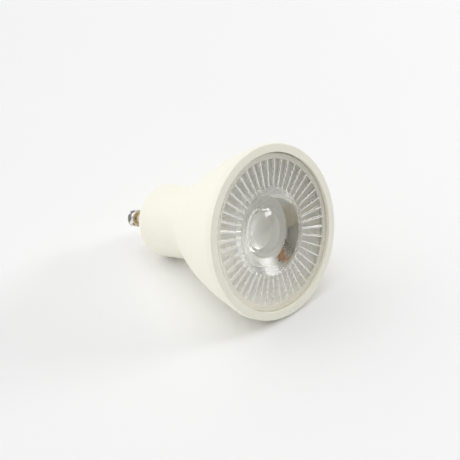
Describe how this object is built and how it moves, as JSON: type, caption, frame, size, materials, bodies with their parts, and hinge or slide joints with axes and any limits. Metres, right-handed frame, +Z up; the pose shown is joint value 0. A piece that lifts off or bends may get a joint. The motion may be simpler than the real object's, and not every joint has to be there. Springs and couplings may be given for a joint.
{
  "type": "led spot lamp",
  "caption": "Reflector-shaped LED spot lamp with a white flared housing, a clear fluted lens with a central dome and a twist-lock pin base; lies on its side.",
  "frame": {"origin": "on the surface the lamp lies on, under the middle of its bounding box", "axes": "+X along the ground towards the light's side of the lamp, +Z up; the optical axis lies in the XZ plane and rises towards +X because the lamp rests on its rim and its base"},
  "size_m": [0.0598, 0.05, 0.048],
  "materials": {
    "housing_plastic": "satin moulded, warm white",
    "cup_aluminium": "drawn, bare",
    "lens_acrylic": "clear, polished mould",
    "board_white": "white solder mask on aluminium",
    "alumina": "unglazed white",
    "silicone_white": "soft white",
    "phosphor": "yellow silicone",
    "lead_red": "insulated lead",
    "lead_blue": "insulated lead",
    "tape_amber": "amber film",
    "solder": "bright solder",
    "pin_nickel": "nickel plate",
    "tinned_copper": "tinned wire",
    "board_green": "glass-fibre board",
    "capacitor_sleeve": "black sleeve",
    "ferrite": "matt grey",
    "enamelled_copper": "enamelled copper wire",
    "resistor_coat": "lacquered",
    "capacitor_box": "moulded box",
    "moulded_epoxy": "moulded epoxy",
    "thick_film": "chip resistor"
  },
  "bodies": {
    "root": {"housing": "housing_plastic", "heat_sink_cup": "cup_aluminium", "lens": "lens_acrylic", "led_board": "board_white", "led_substrate": "alumina", "led_dam": "silicone_white", "led_phosphor": "phosphor", "led_lead_positive": "lead_red", "led_lead_negative": "lead_blue", "led_solder": "solder", "insulating_tape": "tape_amber", "contact_pin_live": "pin_nickel", "contact_pin_neutral": "pin_nickel", "mains_lead_live": "tinned_copper", "mains_lead_neutral": "tinned_copper", "driver_board": "board_green", "driver_solder": "solder", "input_capacitor": "capacitor_sleeve", "output_capacitor": "capacitor_sleeve", "choke_core": "ferrite", "choke_winding": "enamelled_copper", "fuse_resistor": "resistor_coat", "film_capacitor": "capacitor_box", "bridge_rectifier": "moulded_epoxy", "driver_ic": "moulded_epoxy", "freewheel_diode": "moulded_epoxy", "sense_resistors": "thick_film"}
  },
  "joints": []
}
